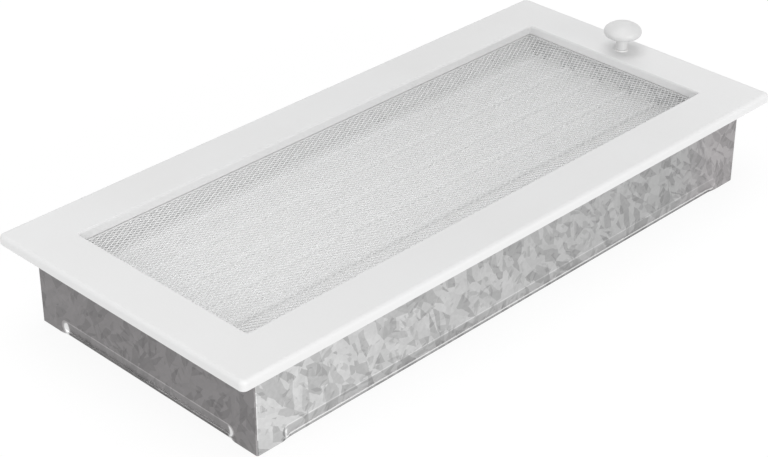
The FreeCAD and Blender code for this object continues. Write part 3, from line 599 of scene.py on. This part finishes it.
def spangled_sheet(name, spangle_size, dark, pale):
    """Hot-dip galvanised sheet: its material, nodes and shader, and the outputs that its look builds on."""
    material, nodes, shader = new_material(name)
    place = nodes.add("TexCoord").outputs
    plane = placed_group(nodes, SHEET_PLANE)
    # More dark crystals toward +X: painted shade along X
    dark_share = nodes.along_x(nodes.split(place["Object"])[0], *DARK_SHARE)
    crystals = placed_group(nodes, SPANGLE, Vector=plane["Vector"], Size=spangle_size, Dark_share=dark_share)
    fine = placed_group(nodes, METAL_GRAIN, Size=SHEET_GRAIN)
    dimmed = nodes.math("SUBTRACT", crystals["Tone"], SHEET_GRAIN_SHARE / 2)
    tone = nodes.math("MULTIPLY_ADD", fine["Tone"], SHEET_GRAIN_SHARE, dimmed)
    nodes.feed(shader.inputs["Roughness"], nodes.spread(crystals["Tone"], 0.0, 1.0, *SHEET_ROUGHNESS))
    sheet = {
        "place": place,
        "end_wall": plane["End wall"],
        "tone": tone,
        "colour": nodes.blend_colours(tone, grey(dark), grey(pale)),
        "relief": bump(nodes, shader, crystals["Tone"], SPANGLE_RELIEF),
    }
    return material, nodes, shader, sheet


def sleeve_sheet(name, spangle_size, dark, pale):
    """The sleeve's sheet: warmer on the end walls and toward the knob, with painted shade on the end walls
    and toward +X, and painted shade and highlights round its bead.
    """
    material, nodes, shader, sheet = spangled_sheet(name, spangle_size, dark, pale)
    x = nodes.split(sheet["place"]["Object"])[0]
    warm_end = nodes.math("MAXIMUM", sheet["end_wall"], nodes.spread(x, *WARM_START))
    tint = nodes.blend_colours(warm_end, grey(1.0), WARM_TINT)
    tinted = nodes.vector("MULTIPLY", sheet["colour"], tint)
    bead_light_level, painted_highlight, rounded = bead_painted_light(nodes, sheet["place"], sheet["end_wall"])
    # Painted shade: darker end walls and a level that falls toward +X, times the bead's painted shade and
    # highlights
    wall_level = nodes.blend(sheet["end_wall"], 1.0, END_WALL_PAINTED_SHADE_LEVEL)
    level = nodes.product(nodes.along_x(x, *SLEEVE_PAINTED_SHADE_LEVEL), wall_level, bead_light_level)
    shaded_colour = nodes.scaled(tinted, level)
    # The bead's painted highlights blend toward pale zinc and a higher metallic share
    nodes.feed(shader.inputs["Base Color"], nodes.blend_colours(painted_highlight, shaded_colour, grey(PAINTED_HIGHLIGHT_LEVEL)))
    nodes.feed(shader.inputs["Metallic"], nodes.spread(painted_highlight, 0.0, 1.0, SLEEVE_METALLIC, 1.0))
    nodes.feed(sheet["relief"].inputs["Normal"], rounded)
    return material


def housing_sheet(name, spangle_size, dark, pale):
    """The louvre housing's sheet: pale within, and with a duller spangle on the faces that look outward."""
    material, nodes, shader, sheet = spangled_sheet(name, spangle_size, dark, pale)
    x, y, z = nodes.split(sheet["place"]["Object"])
    facing = nodes.split(sheet["place"]["Normal"])
    outward = nodes.math("ADD", nodes.product(facing[0], x), nodes.product(facing[1], y))
    dulled = nodes.product(nodes.math("GREATER_THAN", outward, OUTER_REACH),
                           nodes.spread(sheet["tone"], 0.0, 1.0, OUTER_DULLING, OUTER_DULLING / 2))
    level = nodes.product(nodes.along_x(x, *HOUSING_LEVEL), nodes.one_less(dulled))
    nodes.feed(shader.inputs["Base Color"], nodes.scaled(sheet["colour"], level))
    return material


def grained(name, level, darkest, warmth, roughness, swing, grain_size, stretch, depth):
    """A plain material with a fine grain: its colour, roughness and relief follow the grain."""
    material, nodes, shader = new_material(name)
    grain = placed_group(nodes, METAL_GRAIN, Size=grain_size, Stretch=stretch)
    tone = nodes.spread(grain["Tone"], *NOISE_RANGE)
    colour = nodes.blend_colours(tone, grey(level * darkest, warmth), grey(level, warmth))
    nodes.feed(shader.inputs["Base Color"], colour)
    nodes.feed(shader.inputs["Roughness"], swung(nodes, grain["Tone"], roughness, swing))
    bump(nodes, shader, grain["Height"], depth)
    return material, shader


def bare_metal(name, level, roughness, grain_size, warmth=0.0, metallic=0.85, stretch=1.0):
    """Plated, rolled or cast metal with a fine grain."""
    material, shader = grained(name, level, METAL_DARKEST, warmth, roughness, METAL_SWING,
                               grain_size, stretch, METAL_RELIEF)
    shader.inputs["Metallic"].default_value = metallic
    return material


def moulded_plastic(name, level, roughness, warmth=0.0):
    """Smooth moulded plastic with the faint texture of its tool."""
    return grained(name, level, PLASTIC_DARKEST, warmth, roughness, PLASTIC_SWING,
                   PLASTIC_GRAIN, 1.0, PLASTIC_RELIEF)[0]


# The coats' levels from -X to +X fall as painted shade along X
FINISHES = {
    "white_paint": powder_coat("powder_coat_face", near_level=0.807, far_level=0.798, peel_size=1.6 * MM,
                               peel_depth=0.02 * MM, gloss=0.50, shade=face_level),
    "mesh_paint": powder_coat("powder_coat_mesh", near_level=0.835, far_level=0.685, peel_size=0.8 * MM,
                              peel_depth=0.01 * MM, gloss=0.42, shade=mesh_level),
    "slat_paint": powder_coat("powder_coat_slats", near_level=0.99, far_level=0.90, peel_size=1.8 * MM,
                              peel_depth=0.02 * MM, gloss=0.42, shade=slat_level),
    "galvanised": sleeve_sheet("galvanised_sleeve", spangle_size=7.8 * MM, dark=0.355, pale=0.672),
    "housing_steel": housing_sheet("galvanised_housing", spangle_size=9 * MM, dark=0.86, pale=0.94),
    "zinc": bare_metal("zinc_plate", 0.66, 0.32, 0.4 * MM, warmth=-0.01),
    "zinc_flake": bare_metal("zinc_flake_coat", 0.80, 0.5, 0.4 * MM, metallic=0.0),
    "rivet": bare_metal("rivet_aluminium", 0.74, 0.36, 0.3 * MM),
    "spring_steel": bare_metal("oiled_spring_steel", 0.38, 0.28, 0.5 * MM, warmth=-0.03, metallic=0.9,
                               stretch=0.2),
    "nylon": moulded_plastic("nylon_bush", 0.82, 0.45, warmth=0.004),
    "knob_plastic": moulded_plastic("knob_moulding", 0.675, 0.40),
}


def finish_nodes():
    """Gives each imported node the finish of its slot, and the slats' rods their pale coat."""
    for name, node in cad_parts.items():
        for slot in node.material_slots:
            finish = "zinc_flake" if name.startswith("slat_rod") else slot.material.name
            slot.material = FINISHES[finish]


def begin(primitive, **settings):
    """Adds a primitive as the only selected object, and opens it in edit mode."""
    bpy.ops.object.select_all(action="DESELECT")
    primitive(**settings)
    bpy.ops.object.mode_set(mode="EDIT")
    return bpy.context.object


def end_edit():
    """Closes the piece that is open in edit mode."""
    bpy.ops.object.mode_set(mode="OBJECT")


def pick_points(piece, test):
    """Selects the points of the open piece whose place passes the test, and nothing else."""
    bpy.ops.mesh.select_mode(type="VERT")
    shape = bmesh.from_edit_mesh(piece.data)
    for part in (*shape.faces, *shape.edges, *shape.verts):
        part.select = False
    for point in shape.verts:
        if test(point.co):
            point.select = True
    shape.select_flush_mode()
    bmesh.update_edit_mesh(piece.data)


def move(offset):
    """Moves what is selected in the open piece."""
    bpy.ops.transform.translate(value=offset)


def move_all(piece, offset):
    """Moves the whole piece within its own coordinates, so that the object itself stays at the origin."""
    bpy.context.view_layer.objects.active = piece
    bpy.ops.object.mode_set(mode="EDIT")
    bpy.ops.mesh.select_all(action="SELECT")
    move(offset)
    end_edit()


def apply_modifier(piece, kind, **settings):
    """Adds a modifier with its settings and applies it."""
    modifier = piece.modifiers.new(kind.lower(), kind)
    for name, value in settings.items():
        setattr(modifier, name, value)
    bpy.context.view_layer.objects.active = piece
    bpy.ops.object.modifier_apply(modifier=modifier.name)


def mesh_diamonds():
    """The field of diamonds: one ring of four strands, its tilt, and its copies along and across."""
    piece = begin(bpy.ops.mesh.primitive_circle_add, vertices=4, radius=1.0, fill_type="NGON")
    bpy.ops.transform.resize(value=(DIAMOND_LONG / 2, DIAMOND_SHORT / 2, 1.0))
    bpy.ops.mesh.select_all(action="SELECT")
    bpy.ops.mesh.inset(thickness=STRAND_WIDTH / 2)
    bpy.ops.mesh.delete(type="FACE")

    # The inner points in the diamond's short way, one tilted up and one down
    inner = DIAMOND_SHORT / 2 - TOLERANCE
    for way in (-1, 1):
        pick_points(piece, lambda point: abs(point.x) < TOLERANCE and 0 < way * point.y < inner)
        move((0, 0, -way * STRAND_TILT))

    # A second diamond between four others, then the rows and columns
    bpy.ops.mesh.select_all(action="SELECT")
    bpy.ops.mesh.duplicate()
    move((DIAMOND_LONG / 2, DIAMOND_SHORT / 2, 0))
    bpy.ops.mesh.select_all(action="SELECT")
    bpy.ops.mesh.remove_doubles(threshold=MERGE_DISTANCE)
    end_edit()
    for count, step in ((MESH_COLUMNS, (DIAMOND_LONG, 0, 0)), (MESH_ROWS, (0, DIAMOND_SHORT, 0))):
        apply_modifier(piece, "ARRAY", count=count, use_relative_offset=False, use_constant_offset=True,
                       constant_offset_displace=step, use_merge_vertices=True, merge_threshold=MERGE_DISTANCE)
    apply_modifier(piece, "SOLIDIFY", thickness=STRAND_DEPTH, offset=0.0)
    return piece


def mesh_edge_strip(low, high, half_x, half_y):
    """The mesh's plain flattened edge, from the field of diamonds out to the sheet's cut edge."""
    piece = begin(bpy.ops.mesh.primitive_plane_add, size=1.0)
    bpy.ops.transform.resize(value=(high.x - low.x, high.y - low.y, 1.0))
    move(((low.x + high.x) / 2, (low.y + high.y) / 2, 0))
    width = high.y - half_y
    bpy.ops.mesh.inset(thickness=width)
    bpy.ops.mesh.delete(type="FACE")
    for inner_side, field_side in ((high.x - width, half_x), (low.x + width, -half_x)):
        pick_points(piece, lambda point: abs(point.x - inner_side) < MM)
        move((field_side - inner_side, 0, 0))
    end_edit()
    apply_modifier(piece, "SOLIDIFY", thickness=EDGE_STRIP_DEPTH, offset=0.0)
    return piece


def expanded_mesh():
    """White expanded mesh in the place of the plain packed sheet."""
    low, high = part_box("mesh_screen")
    field = mesh_diamonds()
    half_x = MESH_COLUMNS * DIAMOND_LONG / 2
    half_y = MESH_ROWS * DIAMOND_SHORT / 2
    move_all(field, (-half_x + DIAMOND_LONG / 4, -half_y + DIAMOND_SHORT / 4, 0))
    lap = DIAMOND_SHORT / 2
    strip = mesh_edge_strip(low, high, half_x - lap, half_y - lap)
    bpy.ops.object.select_all(action="DESELECT")
    strip.select_set(True)
    field.select_set(True)
    bpy.context.view_layer.objects.active = field
    bpy.ops.object.join()
    move_all(field, (0, 0, (low.z + high.z) / 2))
    field.name = "expanded_mesh"
    field.data.materials.append(FINISHES["mesh_paint"])
    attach(field, "grille")
    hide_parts("mesh_screen")


def seen_ray(nodes):
    """1 for rays from the camera, off a gloss or through glass, else 0."""
    path = nodes.add("LightPath").outputs
    direct = nodes.math("MAXIMUM", path["Is Camera Ray"], path["Is Glossy Ray"])
    return nodes.math("MAXIMUM", direct, path["Is Transmission Ray"])


def studio_floor():
    """A plain pale floor that keeps a faint shadow."""
    bpy.ops.object.select_all(action="DESELECT")
    bpy.ops.mesh.primitive_plane_add(size=FLOOR_SIZE)
    floor = bpy.context.object
    floor.name = "studio_floor"
    material, nodes, shader = new_material("pale_floor")
    shader.inputs["Base Color"].default_value = grey(FLOOR_ALBEDO)
    shader.inputs["Roughness"].default_value = 1.0
    shader.inputs["Specular IOR Level"].default_value = 0.0
    shader.inputs["Emission Color"].default_value = grey(1.0)
    nodes.feed(shader.inputs["Emission Strength"], nodes.blend(seen_ray(nodes), FLOOR_BOUNCE, FLOOR_GLOW))
    floor.data.materials.append(material)


def room_light():
    """Soft light from all round, which the camera and gloss see as white."""
    world = bpy.data.worlds.new("white_room")
    world.use_nodes = True
    bpy.context.scene.world = world
    nodes = Nodes(world.node_tree)
    background = world.node_tree.nodes["Background"]
    background.inputs["Color"].default_value = grey(1.0)
    nodes.feed(background.inputs["Strength"], nodes.blend(seen_ray(nodes), ROOM_LEVEL, 1.0))


def set_up(name, data, place, aim):
    """Puts a lamp or camera in the scene at its place, facing its aim."""
    fixture = bpy.data.objects.new(name, data)
    bpy.context.scene.collection.objects.link(fixture)
    fixture.location = place
    fixture.rotation_euler = (Vector(aim) - Vector(place)).to_track_quat("-Z", "Y").to_euler()
    return fixture


def soft_lamp(name, place, width, depth, power):
    """A rectangular lamp that faces the middle of the object."""
    light = bpy.data.lights.new(name, "AREA")
    light.shape = "RECTANGLE"
    light.size = width
    light.size_y = depth
    light.energy = power
    set_up(name, light, place, OBJECT_MIDDLE)


def photo_camera():
    """The camera of the photograph."""
    camera_data = bpy.data.cameras.new("photo_camera")
    camera_data.lens = CAMERA_LENS
    camera_data.sensor_width = CAMERA_SENSOR
    camera_data.sensor_fit = "HORIZONTAL"
    bpy.context.scene.camera = set_up("photo_camera", camera_data, CAMERA_PLACE, CAMERA_AIM)


finish_nodes()
expanded_mesh()
studio_floor()
room_light()
for lamp, (place, width, depth, power) in LAMPS.items():
    soft_lamp(lamp, place, width, depth, power)
photo_camera()
bpy.context.scene.view_settings.view_transform = "Standard"
